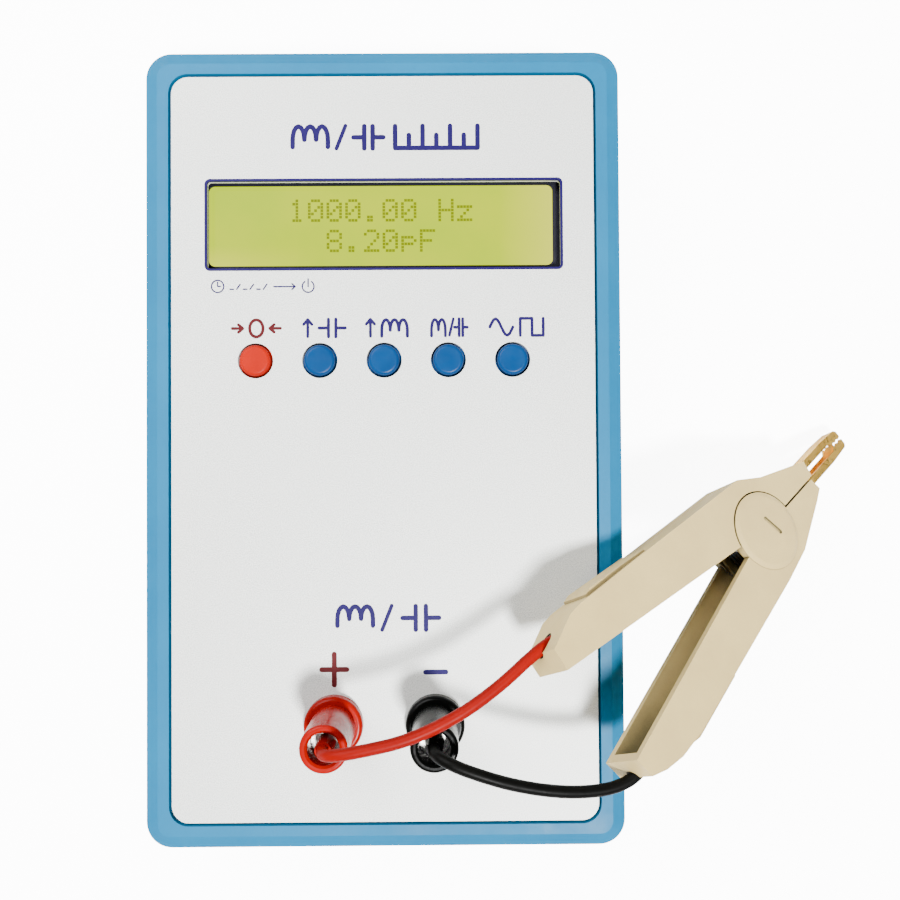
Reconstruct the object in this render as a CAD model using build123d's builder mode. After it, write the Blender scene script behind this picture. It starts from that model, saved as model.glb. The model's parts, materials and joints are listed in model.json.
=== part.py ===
"""Hand-held inductance and capacitance meter with its two test leads and spring clip.

Millimetres. +X right, +Y towards the display, +Z up. The meter lies on its back and the
origin is the centre of that back face.
"""

from build123d import *
from math import cos, pi, radians, sin, tan
import os

os.makedirs("parts", exist_ok=True)

# Case
CASE_W, CASE_L, CASE_H = 89.0, 148.6, 30.0
CASE_R = 4.8
WALL = 2.2
SPLIT_Z = 15.0  # where the two shells meet
LIP_H, LIP_T, LIP_GAP = 1.4, 0.9, 0.15
RIM_SLOPE_W, RIM_SLOPE_H = 2.4, 1.4
FLOOR = 2.6
LEDGE_W, LEDGE_Z, LEDGE_R = 4.0, 26.8, 1.5
SCREW_X, SCREW_Y, BOSS_R = 37.5, 67.0, 3.5
BACK_EDGE_R = 1.5
TRACK_ROOF_T = 0.6  # the second floor over the door's track
OVERRUN = 1.0  # how far a cut runs past the face it opens

# Screws
SCREW_HEAD_R, SCREW_HEAD_Z, SCREW_SUNK = 2.8, 2.4, 0.4
SCREW_R, SCREW_TOP = 1.45, 24.0
SCREW_PLAY, HEAD_PLAY = 0.25, 0.3
CROSS_L, CROSS_W, CROSS_DEPTH = 3.4, 0.8, 1.1
BOARD_SCREW_R, BOARD_HEAD_R, BOARD_HEAD_H, BOARD_SCREW_Z0 = 1.2, 2.4, 1.6, 4.0
LCD_SCREW_R, LCD_SCREW_L, LCD_HEAD_R, LCD_HEAD_H = 0.9, 6.0, 1.7, 1.2

# Front panel
PANEL_T = 1.5
PANEL_GAP = 0.45
PANEL_W, PANEL_L, PANEL_R = 79.1, 139.0, 3.2
PANEL_Z = CASE_H - 0.4  # its face, just below the rim
PANEL_BACK = PANEL_Z - PANEL_T

# Display module, a 16 by 2 character type
LCD_X, LCD_Y = -0.55, 42.1
LCD_VIEW_W, LCD_VIEW_L, LCD_VIEW_R = 65.4, 15.3, 1.2
WINDOW_X, WINDOW_Y, WINDOW_W, WINDOW_L, WINDOW_R = 0.2, 41.65, 66.3, 16.5, 0.7
GLASS_Z = PANEL_Z - 3.3
GLASS_T = 2.2
BEZEL_W, BEZEL_L, BEZEL_R, BEZEL_SKIN, BEZEL_WALL = 71.3, 26.4, 0.8, 0.3, 0.5
LCD_PCB_Z = 16.4
LCD_PCB_W, LCD_PCB_L = 80.0, 36.0
LCD_HOLE_DX, LCD_HOLE_DY, LCD_HOLE_R, LCD_BOSS_R = 75.0, 31.0, 1.2, 1.75
LCD_PLAY = 0.4
HEADER_PINS, HEADER_PITCH, HEADER_BAR = 16, 2.54, 2.5
HEADER_PIN, HEADER_HOLE_R, HEADER_PIN_L = 0.6, 0.5, 9.0
HEADER_X, HEADER_Y = LCD_X - 14.0, LCD_Y + 14.6

# Main board
PCB_T = 1.6
PCB_Z = 12.2
PCB_TOP = PCB_Z + PCB_T
PCB_W, PCB_L = 82.0, 125.6
PCB_HOLE_X, PCB_HOLE_Y, PCB_HOLE_R = 36.5, 50.0, 1.6
COLUMN_R, COLUMN_Z0 = 2.6, 1.0

# Battery bay: four AA cells side by side
CELL_R, CELL_L, CELL_PITCH, CELL_Z = 7.1, 48.8, 14.7, 9.4
NUB_R, NUB_L = 2.7, 1.5
BAY_HALF_W = 29.8
BAY_Y0, BAY_Y1 = -42.6, 10.4
BAY_WALL, BAY_PLAY = 1.2, 0.6
BAY_ROOF_Z = 16.9
DOOR_HALF_W, DOOR_Y0, DOOR_Y1 = 29.9, -72.8, 11.6
DOOR_Z0, DOOR_Z1 = 0.15, 1.7
TONGUE_W, TONGUE_Z0, TONGUE_Z1 = 1.2, 0.75, 1.35
SLIDE_GAP = 0.2
GRIP_Y, GRIP_PITCH, GRIP_ROWS, GRIP_W, GRIP_L, GRIP_DEPTH = 14.0, 2.2, 6, 22.0, 1.0, 0.5

# Push buttons
BUTTON_Y, BUTTON_PITCH, BUTTON_X0 = 16.15, 12.0, 0.12
BUTTON_HOLE_R, CAP_R, CAP_PROUD = 3.3, 2.9, 0.9
CAP_FLANGE_R, CAP_FLANGE_T = 3.8, 1.0
SWITCH_W, SWITCH_H = 6.0, 3.5
PLUNGER_R = 1.7

# Binding posts
POST_Y = -51.4
POST_X = {"red": -9.47, "black": 9.27}
FLANGE_R, FLANGE_T, FLANGE_EDGE_R = 5.45, 2.5, 0.8
SHOULDER_R, SHOULDER_PLAY = 3.4, 0.1
WASHER_T = 1.8
POST_CAP_R, POST_CAP_Z0, POST_CAP_Z1 = 4.15, 2.7, 17.0
POST_CAP_EDGE_R, POST_CAP_FOOT_R, MOUTH_SLOPE = 0.6, 0.3, 0.4
STEM_R, STEM_TOP, STEM_DOWN, STEM_SLOPE = 2.95, 11.6, 9.6, 0.25
TAIL_R, TAIL_OUT = 1.95, 1.0
WIRE_HOLE_R, WIRE_HOLE_Z = 0.8, 3.7
SOCKET_R, SOCKET_DEPTH = 2.05, 10.6
INSERT_R, INSERT_Z0, INSERT_Z1 = 3.6, 4.2, 9.2
MOUTH_R = 2.8
RUNNING = 0.05  # radial clearance of a running fit
NUT_AF, NUT_T, NUT_GAP = 9.0, 2.6, 0.1

# Leads
LEAD_D = 2.1
LEAD_GAP = 0.3
PIN_R, PIN_Z0, PIN_Z1, PIN_SLOPE = 1.95, 2.0, 11.7, 0.5
BOOT_R, BOOT_Z0, BOOT_Z1, BOOT_COLLAR, BOOT_SKIN = 1.7, 11.7, 17.5, 1.2, 0.35
RED_ROUTE = [
    (-9.47, -51.40, 47.1),
    (-9.47, -51.40, 49.8),
    (-7.00, -51.00, 51.6),
    (-2.50, -50.20, 51.9),
    (5.00, -48.60, 51.8),
    (13.50, -44.80, 51.1),
    (20.50, -40.00, 49.8),
    (25.30, -35.90, 48.4),
    (28.70, -33.60, 46.9),
    (32.20, -32.50, 44.9),
    (36.25, -31.00, 42.4),
    (39.60, -29.50, 40.2),
]
BLACK_ROUTE = [
    (9.27, -51.40, 47.1),
    (9.27, -51.40, 49.7),
    (11.60, -52.40, 51.4),
    (15.60, -54.00, 51.6),
    (22.50, -56.30, 50.9),
    (30.30, -57.80, 49.8),
    (36.80, -58.00, 48.6),
    (40.90, -57.20, 47.8),
    (43.60, -55.60, 47.2),
    (45.20, -53.20, 45.8),
    (47.50, -49.90, 43.5),
    (49.80, -47.10, 41.4),
]

# Spring clip. Its own plane lies across the case's right rim: x towards the jaws, y
# across the arms, z out of its front face. Its jaw tips come down to the table.
CLIP_ORIGIN = (71.0, -17.85, 20.7)
CLIP_TILT, CLIP_LEAN, CLIP_HEADING = 31.1, 36.0, 38.0
CLIP_T = 9.2
ARM_WALL = 1.3
DISC_R, DISC_GAP, DISC_PROUD = 7.6, 0.3, 0.6
DISC_SLOPE_W, DISC_SLOPE_H = 1.2, 0.5
MARK_X, MARK_L, MARK_W, MARK_TURN, MARK_DEPTH = 1.6, 4.8, 0.8, -76, 0.4
EAR_R, EAR_T, EAR_GAP = 7.0, 0.7, 0.2
PIVOT_R, PIVOT_HALF = 1.5, 4.1
COIL_R, COIL_WIRE, COIL_PITCH, COIL_LEG = 6.0, 0.94, 0.97, 12.0
COIL_LEG_ANGLE = 10.0  # each leg leans out from the coil towards its arm
COIL_TURNS = 3.5 - 2 * COIL_LEG_ANGLE / 360
SLIT_HALF = 0.2
SLIT_Y = 0.35
JAW_HALF_N, JAW_SHEET, JAW_RISE, JAW_FALL = 1.6, 0.45, 0.85, 0.75
JAW_SLOT_X, JAW_SLOT_L, JAW_SLOT_W, JAW_PLAY = 15.0, 16.0, 2.1, 0.1
JAW_TIP = 36.0


def clip_plane(height=0.0):
    """The clip's own plane, moved along its normal."""
    tilt, lean, heading = radians(CLIP_TILT), radians(CLIP_LEAN), radians(CLIP_HEADING)
    normal = Vector(sin(tilt) * cos(lean), sin(tilt) * sin(lean), cos(tilt))
    level = Vector(cos(heading), sin(heading), 0)
    along = Vector(level.X, level.Y, -level.dot(normal) / normal.Z)
    return Plane(origin=CLIP_ORIGIN, x_dir=along, z_dir=normal).offset(height)


def save(part, name):
    """Name a finished piece and write it."""
    part.label = name
    export_step(part, f"parts/{name}.step")


# ---------------------------------------------------------------- the two shells
BAY_X1 = BAY_HALF_W + BAY_WALL
GROOVE_HALF_W = DOOR_HALF_W + TONGUE_W + SLIDE_GAP
DOOR_FLOOR_Z = DOOR_Z1 + 0.1

with BuildPart() as rear_shell:
    with BuildSketch():
        RectangleRounded(CASE_W, CASE_L, CASE_R)
    extrude(amount=SPLIT_Z)
    fillet(rear_shell.edges().group_by(Axis.Z)[0], radius=BACK_EDGE_R)
    with BuildSketch(Plane.XY.offset(FLOOR)):
        RectangleRounded(CASE_W - 2 * WALL, CASE_L - 2 * WALL, CASE_R - WALL)
    extrude(amount=SPLIT_Z, mode=Mode.SUBTRACT)
    # locating lip inside the joint line
    with BuildSketch(Plane.XY.offset(FLOOR)):
        RectangleRounded(CASE_W - 2 * WALL, CASE_L - 2 * WALL, CASE_R - WALL)
        RectangleRounded(
            CASE_W - 2 * WALL - 2 * LIP_T,
            CASE_L - 2 * WALL - 2 * LIP_T,
            CASE_R - WALL - LIP_T,
            mode=Mode.SUBTRACT,
        )
    extrude(amount=SPLIT_Z + LIP_H - FLOOR)
    # walls and roof of the battery bay
    with BuildSketch():
        with Locations((0, (BAY_Y0 + BAY_Y1) / 2)):
            Rectangle(2 * BAY_X1, BAY_Y1 - BAY_Y0 + 2 * BAY_WALL)
    extrude(amount=BAY_ROOF_Z + BAY_WALL)
    with BuildSketch(Plane.XY.offset(-OVERRUN)):
        with Locations((0, (BAY_Y0 + BAY_Y1) / 2)):
            Rectangle(2 * BAY_HALF_W, BAY_Y1 - BAY_Y0)
    extrude(amount=BAY_ROOF_Z + OVERRUN, mode=Mode.SUBTRACT)
    # second floor over the door's track
    with BuildSketch(Plane.XY.offset(FLOOR)):
        with Locations((0, (BAY_Y0 - CASE_L / 2 + WALL) / 2)):
            Rectangle(2 * BAY_X1 + 2, BAY_Y0 + CASE_L / 2 - WALL)
    extrude(amount=TRACK_ROOF_T)
    # the door's track, open at the lower end
    track_y = (DOOR_Y1 + SLIDE_GAP - CASE_L / 2 - OVERRUN) / 2
    track_l = DOOR_Y1 + SLIDE_GAP + CASE_L / 2 + OVERRUN
    with BuildSketch(Plane.XY.offset(-OVERRUN)):
        with Locations((0, track_y)):
            Rectangle(2 * (DOOR_HALF_W + SLIDE_GAP), track_l)
    extrude(amount=DOOR_FLOOR_Z + OVERRUN, mode=Mode.SUBTRACT)
    with BuildSketch(Plane.XY.offset(TONGUE_Z0 - SLIDE_GAP)):
        with Locations((0, track_y)):
            Rectangle(2 * GROOVE_HALF_W, track_l)
    extrude(amount=TONGUE_Z1 - TONGUE_Z0 + 2 * SLIDE_GAP, mode=Mode.SUBTRACT)
    # screw columns at the corners and board columns inside
    with BuildSketch():
        with GridLocations(2 * SCREW_X, 2 * SCREW_Y, 2, 2):
            Circle(BOSS_R)
    extrude(amount=SPLIT_Z)
    with BuildSketch(Plane.XY.offset(COLUMN_Z0)):
        with GridLocations(2 * PCB_HOLE_X, 2 * PCB_HOLE_Y, 2, 2):
            Circle(COLUMN_R)
    extrude(amount=PCB_Z - COLUMN_Z0)
    with BuildSketch(Plane.XY.offset(-OVERRUN)):
        with GridLocations(2 * SCREW_X, 2 * SCREW_Y, 2, 2):
            Circle(SCREW_R + SCREW_PLAY)
    extrude(amount=SPLIT_Z + 2 * OVERRUN, mode=Mode.SUBTRACT)
    with BuildSketch(Plane.XY.offset(-OVERRUN)):
        with GridLocations(2 * SCREW_X, 2 * SCREW_Y, 2, 2):
            Circle(SCREW_HEAD_R + HEAD_PLAY)
    extrude(amount=SCREW_HEAD_Z + OVERRUN, mode=Mode.SUBTRACT)
    with BuildSketch(Plane.XY.offset(FLOOR + OVERRUN)):
        with GridLocations(2 * PCB_HOLE_X, 2 * PCB_HOLE_Y, 2, 2):
            Circle(BOARD_SCREW_R + RUNNING)
    extrude(amount=PCB_Z, mode=Mode.SUBTRACT)
save(rear_shell.part, "rear_shell")

RECESS_W, RECESS_L = PANEL_W + 2 * PANEL_GAP, PANEL_L + 2 * PANEL_GAP

with BuildPart() as front_shell:
    with BuildSketch(Plane.XY.offset(SPLIT_Z)):
        RectangleRounded(CASE_W, CASE_L, CASE_R)
    extrude(amount=CASE_H - SPLIT_Z)
    top_edges = front_shell.edges().group_by(Axis.Z)[-1]
    rim_face = front_shell.faces().sort_by(Axis.Z)[-1]
    chamfer(top_edges, length=RIM_SLOPE_W, length2=RIM_SLOPE_H, reference=rim_face)
    # room for the rear shell's lip, then the inside
    with BuildSketch(Plane.XY.offset(SPLIT_Z)):
        RectangleRounded(CASE_W - 2 * WALL, CASE_L - 2 * WALL, CASE_R - WALL)
    extrude(amount=LEDGE_Z - SPLIT_Z, mode=Mode.SUBTRACT)
    with BuildSketch(Plane.XY.offset(PANEL_BACK)):
        RectangleRounded(RECESS_W, RECESS_L, PANEL_R + PANEL_GAP)
    extrude(amount=CASE_H, mode=Mode.SUBTRACT)
    with BuildSketch(Plane.XY.offset(LEDGE_Z - OVERRUN)):
        RectangleRounded(RECESS_W - 2 * LEDGE_W, RECESS_L - 2 * LEDGE_W, LEDGE_R)
    extrude(amount=CASE_H, mode=Mode.SUBTRACT)
    with BuildSketch(Plane.XY.offset(SPLIT_Z + 0.1)):
        with GridLocations(2 * SCREW_X, 2 * SCREW_Y, 2, 2):
            Circle(BOSS_R)
    extrude(amount=LEDGE_Z - SPLIT_Z)
    with BuildSketch(Plane.XY.offset(LCD_PCB_Z + PCB_T)):
        with Locations((LCD_X, LCD_Y)):
            with GridLocations(LCD_HOLE_DX, LCD_HOLE_DY, 2, 2):
                Circle(LCD_BOSS_R)
    extrude(amount=LEDGE_Z - LCD_PCB_Z - PCB_T + 0.2)
    with BuildSketch(Plane.XY.offset(LCD_PCB_Z)):
        with Locations((LCD_X, LCD_Y)):
            with GridLocations(LCD_HOLE_DX, LCD_HOLE_DY, 2, 2):
                Circle(LCD_SCREW_R + RUNNING)
    extrude(amount=LCD_SCREW_L + 2, mode=Mode.SUBTRACT)
    with BuildSketch(Plane.XY.offset(SPLIT_Z)):
        with GridLocations(2 * SCREW_X, 2 * SCREW_Y, 2, 2):
            Circle(SCREW_R + RUNNING)
    extrude(amount=SCREW_TOP + 0.5 - SPLIT_Z, mode=Mode.SUBTRACT)
save(front_shell.part, "front_shell")

with BuildPart() as battery_door:
    with BuildSketch(Plane.XY.offset(DOOR_Z0)):
        with Locations((0, (DOOR_Y0 + DOOR_Y1) / 2)):
            Rectangle(2 * DOOR_HALF_W, DOOR_Y1 - DOOR_Y0)
    extrude(amount=DOOR_Z1 - DOOR_Z0)
    with BuildSketch(Plane.XY.offset(TONGUE_Z0)):
        with Locations((0, (DOOR_Y0 + DOOR_Y1) / 2)):
            Rectangle(2 * (DOOR_HALF_W + TONGUE_W), DOOR_Y1 - DOOR_Y0)
    extrude(amount=TONGUE_Z1 - TONGUE_Z0)
    # thumb grooves near the lower end
    with BuildSketch(Plane.XY.offset(DOOR_Z0)):
        with Locations((0, DOOR_Y0 + GRIP_Y)):
            with GridLocations(1, GRIP_PITCH, 1, GRIP_ROWS):
                SlotOverall(GRIP_W, GRIP_L)
    extrude(amount=GRIP_DEPTH, mode=Mode.SUBTRACT)
save(battery_door.part, "battery_door")

# ---------------------------------------------------------------- panel
BUTTON_NAMES = ["zero", "capacitance", "inductance", "range", "function"]
BUTTON_XS = [BUTTON_X0 + (i - 2) * BUTTON_PITCH for i in range(len(BUTTON_NAMES))]

with BuildPart() as front_panel:
    with BuildSketch(Plane.XY.offset(PANEL_BACK)):
        RectangleRounded(PANEL_W, PANEL_L, PANEL_R)
        with Locations((WINDOW_X, WINDOW_Y)):
            RectangleRounded(WINDOW_W, WINDOW_L, WINDOW_R, mode=Mode.SUBTRACT)
        with Locations([(x, BUTTON_Y) for x in BUTTON_XS]):
            Circle(BUTTON_HOLE_R, mode=Mode.SUBTRACT)
        with Locations([(x, POST_Y) for x in POST_X.values()]):
            Circle(SHOULDER_R + SHOULDER_PLAY, mode=Mode.SUBTRACT)
    extrude(amount=PANEL_T)
save(front_panel.part, "front_panel")

# ---------------------------------------------------------------- display module
BEZEL_Z0 = LCD_PCB_Z + PCB_T
BEZEL_Z1 = GLASS_Z + BEZEL_SKIN
LIGHT_L = 20.4
STRIP_W, STRIP_L, STRIP_DY = 66.0, 1.8, 11.3

with BuildPart() as lcd_bezel:
    with BuildSketch(Plane.XY.offset(BEZEL_Z0)):
        with Locations((LCD_X, LCD_Y)):
            RectangleRounded(BEZEL_W, BEZEL_L, BEZEL_R)
    extrude(amount=BEZEL_Z1 - BEZEL_Z0)
    with BuildSketch(Plane.XY.offset(BEZEL_Z0)):
        with Locations((LCD_X, LCD_Y)):
            Rectangle(BEZEL_W - 2 * BEZEL_WALL, BEZEL_L - 2 * BEZEL_WALL)
    extrude(amount=GLASS_Z - BEZEL_Z0, mode=Mode.SUBTRACT)
    with BuildSketch(Plane.XY.offset(BEZEL_Z0)):
        with Locations((LCD_X, LCD_Y)):
            RectangleRounded(LCD_VIEW_W, LCD_VIEW_L, LCD_VIEW_R)
    extrude(amount=BEZEL_Z1, mode=Mode.SUBTRACT)
save(lcd_bezel.part, "lcd_bezel")

with BuildPart() as lcd_glass:
    with BuildSketch(Plane.XY.offset(GLASS_Z - GLASS_T)):
        with Locations((LCD_X, LCD_Y)):
            Rectangle(BEZEL_W - 2 * BEZEL_WALL - LCD_PLAY, BEZEL_L - 2 * BEZEL_WALL - LCD_PLAY)
    extrude(amount=GLASS_T)
save(lcd_glass.part, "lcd_glass")

with BuildPart() as lcd_backlight:
    with BuildSketch(Plane.XY.offset(BEZEL_Z0)):
        with Locations((LCD_X, LCD_Y)):
            Rectangle(BEZEL_W - 2 * BEZEL_WALL - LCD_PLAY, LIGHT_L)
    extrude(amount=GLASS_Z - GLASS_T - BEZEL_Z0 - 0.1)
save(lcd_backlight.part, "lcd_backlight")

with BuildPart() as lcd_contact_strips:
    with BuildSketch(Plane.XY.offset(BEZEL_Z0)):
        with Locations((LCD_X, LCD_Y)):
            with GridLocations(1, 2 * STRIP_DY, 1, 2):
                Rectangle(STRIP_W, STRIP_L)
    extrude(amount=GLASS_Z - GLASS_T - BEZEL_Z0)
save(lcd_contact_strips.part, "lcd_contact_strips")

with BuildPart() as lcd_board:
    with BuildSketch(Plane.XY.offset(LCD_PCB_Z)):
        with Locations((LCD_X, LCD_Y)):
            Rectangle(LCD_PCB_W, LCD_PCB_L)
            with GridLocations(LCD_HOLE_DX, LCD_HOLE_DY, 2, 2):
                Circle(LCD_HOLE_R, mode=Mode.SUBTRACT)
        with Locations((HEADER_X, HEADER_Y)):
            with GridLocations(HEADER_PITCH, 1, HEADER_PINS, 1):
                Circle(HEADER_HOLE_R, mode=Mode.SUBTRACT)
    extrude(amount=PCB_T)
save(lcd_board.part, "lcd_board")

with BuildPart() as lcd_header:
    with BuildSketch(Plane.XY.offset(PCB_TOP)):
        with Locations((HEADER_X, HEADER_Y)):
            Rectangle(HEADER_PINS * HEADER_PITCH, HEADER_BAR)
    extrude(amount=LCD_PCB_Z - PCB_TOP)
    with BuildSketch(Plane.XY.offset(PCB_Z - 1.2)):
        with Locations((HEADER_X, HEADER_Y)):
            with GridLocations(HEADER_PITCH, 1, HEADER_PINS, 1):
                Rectangle(HEADER_PIN, HEADER_PIN)
    extrude(amount=HEADER_PIN_L)
save(lcd_header.part, "lcd_header")

# ---------------------------------------------------------------- main board and its parts
with BuildPart() as main_board:
    with BuildSketch(Plane.XY.offset(PCB_Z)):
        Rectangle(PCB_W, PCB_L)
        with Locations((0, (BAY_Y0 + BAY_Y1) / 2)):
            Rectangle(
                2 * (BAY_X1 + BAY_PLAY),
                BAY_Y1 - BAY_Y0 + 2 * (BAY_WALL + BAY_PLAY),
                mode=Mode.SUBTRACT,
            )
        with GridLocations(2 * PCB_HOLE_X, 2 * PCB_HOLE_Y, 2, 2):
            Circle(PCB_HOLE_R, mode=Mode.SUBTRACT)
        with Locations([(x, POST_Y) for x in POST_X.values()]):
            Circle(TAIL_R + 0.25, mode=Mode.SUBTRACT)
        with Locations((HEADER_X, HEADER_Y)):
            with GridLocations(HEADER_PITCH, 1, HEADER_PINS, 1):
                Circle(HEADER_HOLE_R, mode=Mode.SUBTRACT)
    extrude(amount=PCB_T)
save(main_board.part, "main_board")

LEG, LEG_L, LEG_PITCH = 0.45, 2.0, 1.27
LEG_OUT = 1.6  # how much further apart the two rows of legs are than the body is long
CONTROLLER_AT, CONTROLLER_SIZE, CONTROLLER_PINS = (14, 40), (18.0, 7.5, 2.0), 14
OSCILLATOR_AT, OSCILLATOR_SIZE, OSCILLATOR_PINS = (0, -53), (5.6, 4.4, 1.8), 4
CRYSTAL_AT, CRYSTAL_L, CRYSTAL_W, CRYSTAL_H, CRYSTAL_EDGE_R = (-28, -48.5), 11.0, 4.6, 3.5, 0.6
RELAY_AT, RELAY_L, RELAY_W, RELAY_H = (-27, -57.5), 15.0, 5.2, 6.0
COIL_AT, CORE_R, CORE_H = (25, -54), 4.5, 9.0
WAIST_R, WAIST_Z, WAIST_H = 3.6, 1.5, 6.0
FILM_AT, FILM_L, FILM_W, FILM_H = ((35, -55.6), (35, -60.4)), 7.2, 3.4, 7.0
BLOCK_R = 0.5


def chip(centre, size, pins):
    """A chip body with a row of bent legs along each long side."""
    width, length, height = size
    with BuildPart() as body:
        with BuildSketch(Plane.XY.offset(PCB_TOP + 0.2)):
            with Locations(centre):
                Rectangle(width, length)
        extrude(amount=height)
        with BuildSketch(Plane.XY.offset(PCB_TOP)):
            with Locations(centre):
                with GridLocations(LEG_PITCH, length + LEG_OUT, pins, 2):
                    Rectangle(LEG, LEG_L)
        extrude(amount=height / 2)
    return body.part


save(chip(CONTROLLER_AT, CONTROLLER_SIZE, CONTROLLER_PINS), "microcontroller")
save(chip(OSCILLATOR_AT, OSCILLATOR_SIZE, OSCILLATOR_PINS), "oscillator_chip")

with BuildPart() as crystal:
    with BuildSketch(Plane.XY.offset(PCB_TOP)):
        with Locations(CRYSTAL_AT):
            SlotOverall(CRYSTAL_L, CRYSTAL_W)
    extrude(amount=CRYSTAL_H)
    fillet(crystal.edges().group_by(Axis.Z)[-1], radius=CRYSTAL_EDGE_R)
save(crystal.part, "crystal")

with BuildPart() as reed_relay:
    with BuildSketch(Plane.XY.offset(PCB_TOP)):
        with Locations(RELAY_AT):
            Rectangle(RELAY_L, RELAY_W)
    extrude(amount=RELAY_H)
    fillet(reed_relay.edges().filter_by(Axis.Z), radius=BLOCK_R)
save(reed_relay.part, "reed_relay")

with BuildPart() as reference_inductor:
    with BuildSketch(Plane.XY.offset(PCB_TOP)):
        with Locations(COIL_AT):
            Circle(CORE_R)
    extrude(amount=CORE_H)
    with BuildSketch(Plane.XY.offset(PCB_TOP + WAIST_Z)):
        with Locations(COIL_AT):
            Circle(CORE_R + OVERRUN)
            Circle(WAIST_R, mode=Mode.SUBTRACT)
    extrude(amount=WAIST_H, mode=Mode.SUBTRACT)
save(reference_inductor.part, "reference_inductor")

with BuildPart() as reference_capacitors:
    with BuildSketch(Plane.XY.offset(PCB_TOP)):
        with Locations(*FILM_AT):
            Rectangle(FILM_L, FILM_W)
    extrude(amount=FILM_H)
    fillet(reference_capacitors.edges().filter_by(Axis.Z), radius=BLOCK_R)
save(reference_capacitors.part, "reference_capacitors")

# ---------------------------------------------------------------- batteries and contacts
CELL_XS = [(i - 1.5) * CELL_PITCH for i in range(4)]
CELL_Y = (BAY_Y0 + BAY_Y1) / 2 - 0.2
CONTACT_T, CONTACT_W, CONTACT_R = 0.4, 9.0, 1.0

with BuildPart() as battery_cells:
    for i, x in enumerate(CELL_XS):
        way = 1 if i % 2 else -1
        end = Plane(origin=(x, CELL_Y - way * CELL_L / 2, CELL_Z), z_dir=(0, way, 0))
        with BuildSketch(end):
            Circle(CELL_R)
        extrude(amount=CELL_L)
        with BuildSketch(end.offset(CELL_L)):
            Circle(NUB_R)
        extrude(amount=NUB_L)
save(battery_cells.part, "battery_cells")

with BuildPart() as battery_contacts:
    for i, x in enumerate(CELL_XS):
        way = 1 if i % 2 else -1
        for side in (-1, 1):
            wall_y = BAY_Y1 if side > 0 else BAY_Y0
            with BuildSketch(Plane.XZ.offset(-wall_y + (CONTACT_T if side > 0 else 0))):
                with Locations((x, CELL_Z)):
                    RectangleRounded(CONTACT_W, CONTACT_W, CONTACT_R)
            extrude(amount=-CONTACT_T)
save(battery_contacts.part, "battery_contacts")

# ---------------------------------------------------------------- push buttons
PLUNGER_TOP, PLUNGER_FOOT = 24.0, 2.3
CAP_GRIP, CAP_EDGE_R, CAP_DROP = 2.4, 0.7, 0.2
COVER_T, WELL_R, WELL_Z = 0.3, 2.2, 1.6
SWITCH_EDGE_R = 0.4

with BuildPart() as switch_bodies:
    with BuildSketch(Plane.XY.offset(PCB_TOP)):
        with Locations([(x, BUTTON_Y) for x in BUTTON_XS]):
            RectangleRounded(SWITCH_W, SWITCH_W, SWITCH_EDGE_R)
    extrude(amount=SWITCH_H - COVER_T)
    with BuildSketch(Plane.XY.offset(PCB_TOP + WELL_Z)):
        with Locations([(x, BUTTON_Y) for x in BUTTON_XS]):
            Circle(WELL_R)
    extrude(amount=SWITCH_H, mode=Mode.SUBTRACT)
save(switch_bodies.part, "switch_bodies")

with BuildPart() as switch_covers:
    with BuildSketch(Plane.XY.offset(PCB_TOP + SWITCH_H - COVER_T)):
        with Locations([(x, BUTTON_Y) for x in BUTTON_XS]):
            RectangleRounded(SWITCH_W, SWITCH_W, SWITCH_EDGE_R)
            Circle(PLUNGER_R + 3 * RUNNING, mode=Mode.SUBTRACT)
    extrude(amount=COVER_T)
save(switch_covers.part, "switch_covers")

for name, x in zip(BUTTON_NAMES, BUTTON_XS):
    with BuildPart() as plunger:
        with BuildSketch(Plane.XY.offset(PCB_TOP + PLUNGER_FOOT)):
            with Locations((x, BUTTON_Y)):
                Circle(PLUNGER_R)
        extrude(amount=PLUNGER_TOP - PCB_TOP - PLUNGER_FOOT)
    save(plunger.part, f"{name}_plunger")
    with BuildPart() as cap:
        with BuildSketch(Plane.XY.offset(PLUNGER_TOP - CAP_GRIP)):
            with Locations((x, BUTTON_Y)):
                Circle(CAP_R)
        extrude(amount=PANEL_Z + CAP_PROUD - PLUNGER_TOP + CAP_GRIP)
        fillet(cap.edges().group_by(Axis.Z)[-1], radius=CAP_EDGE_R)
        with BuildSketch(Plane.XY.offset(PANEL_BACK - CAP_FLANGE_T - CAP_DROP)):
            with Locations((x, BUTTON_Y)):
                Circle(CAP_FLANGE_R)
        extrude(amount=CAP_FLANGE_T)
        with BuildSketch(Plane.XY.offset(PLUNGER_TOP - CAP_GRIP)):
            with Locations((x, BUTTON_Y)):
                Circle(PLUNGER_R)
        extrude(amount=CAP_GRIP, mode=Mode.SUBTRACT)
    save(cap.part, f"{name}_button")

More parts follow.
